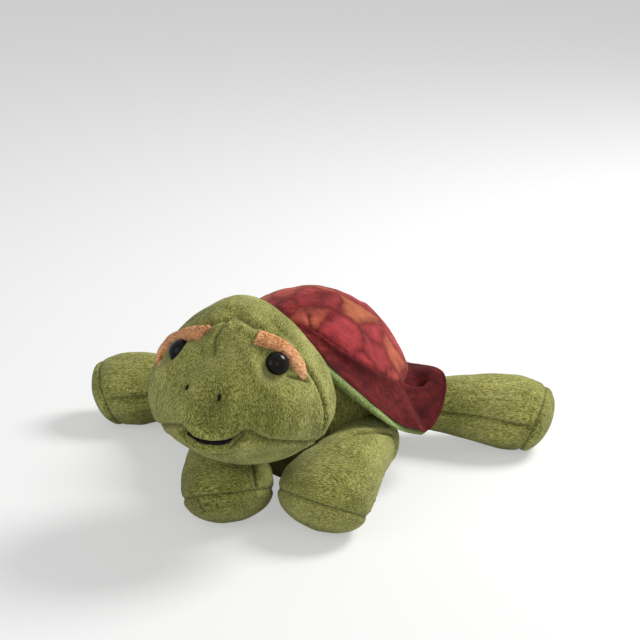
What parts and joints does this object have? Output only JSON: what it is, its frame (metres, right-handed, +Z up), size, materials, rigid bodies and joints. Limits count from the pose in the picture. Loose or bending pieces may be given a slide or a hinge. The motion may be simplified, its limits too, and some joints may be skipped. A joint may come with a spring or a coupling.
{
  "type": "plush turtle",
  "caption": "Soft stuffed turtle lying on its belly, with a printed dome shell, a folded red brim, a turning and nodding head and four floppy legs.",
  "frame": {"origin": "middle of the belly's flat face, on the surface that the toy lies on", "axes": "+Z up, -Y the way the turtle faces, +X towards the turtle's left side"},
  "size_m": [0.3144, 0.2529, 0.1445],
  "materials": {
    "green_plush": "short-pile plush, brushed",
    "lining_plush": "short-pile plush, brushed",
    "red_plush": "short-pile plush, dark red",
    "shell_print": "short-pile plush with a soft printed pattern of rounded scales",
    "brow_plush": "short-pile plush, orange",
    "filling": "loose polyester fibre",
    "eye_plastic": "polished",
    "washer_plastic": "moulded",
    "thread": "satin embroidery thread"
  },
  "bodies": {
    "body": {"body_cover": "green_plush", "body_filling": "filling", "shell_cover": "shell_print", "shell_brim": "red_plush", "brim_lining": "lining_plush", "tail": "green_plush"},
    "neck": {"neck": "green_plush"},
    "head": {"head_cover": "green_plush", "head_filling": "filling", "eye_left": "eye_plastic", "eye_right": "eye_plastic", "eye_washer_left": "washer_plastic", "eye_washer_right": "washer_plastic", "brow_left": "brow_plush", "brow_right": "brow_plush", "nostril_stitch_left": "thread", "nostril_stitch_right": "thread", "mouth_stitch": "thread"},
    "front_leg_left": {"front_leg_left_cover": "green_plush", "front_leg_left_sole": "green_plush", "front_leg_left_filling": "filling"},
    "front_leg_right": {"front_leg_right_cover": "green_plush", "front_leg_right_sole": "green_plush", "front_leg_right_filling": "filling"},
    "rear_leg_left": {"rear_leg_left_cover": "green_plush", "rear_leg_left_sole": "green_plush", "rear_leg_left_filling": "filling"},
    "rear_leg_right": {"rear_leg_right_cover": "green_plush", "rear_leg_right_sole": "green_plush", "rear_leg_right_filling": "filling"}
  },
  "joints": [
    {"name": "neck_turn", "type": "hinge", "parent": "body", "child": "neck", "pos_m": [0, -0.0549, 0.062], "axis": [0, 0, 1], "range_deg": [-4, 40]},
    {"name": "head_nod", "type": "hinge", "parent": "neck", "child": "head", "pos_m": [0, -0.0549, 0.062], "axis": [-0.9781, 0.2079, 0], "range_deg": [0, 10]},
    {"name": "front_left_sweep", "type": "hinge", "parent": "body", "child": "front_leg_left", "pos_m": [0.04608, -0.02736, 0.028], "axis": [0, 0, 1], "range_deg": [0, 20]},
    {"name": "front_right_sweep", "type": "hinge", "parent": "body", "child": "front_leg_right", "pos_m": [-0.04608, -0.02736, 0.028], "axis": [0, 0, -1], "range_deg": [0, 20]},
    {"name": "rear_left_sweep", "type": "hinge", "parent": "body", "child": "rear_leg_left", "pos_m": [0.05116, 0.04154, 0.027], "axis": [0, 0, 1], "range_deg": [-23, 22]},
    {"name": "rear_right_sweep", "type": "hinge", "parent": "body", "child": "rear_leg_right", "pos_m": [-0.05116, 0.04154, 0.027], "axis": [0, 0, -1], "range_deg": [-13, 20]}
  ]
}
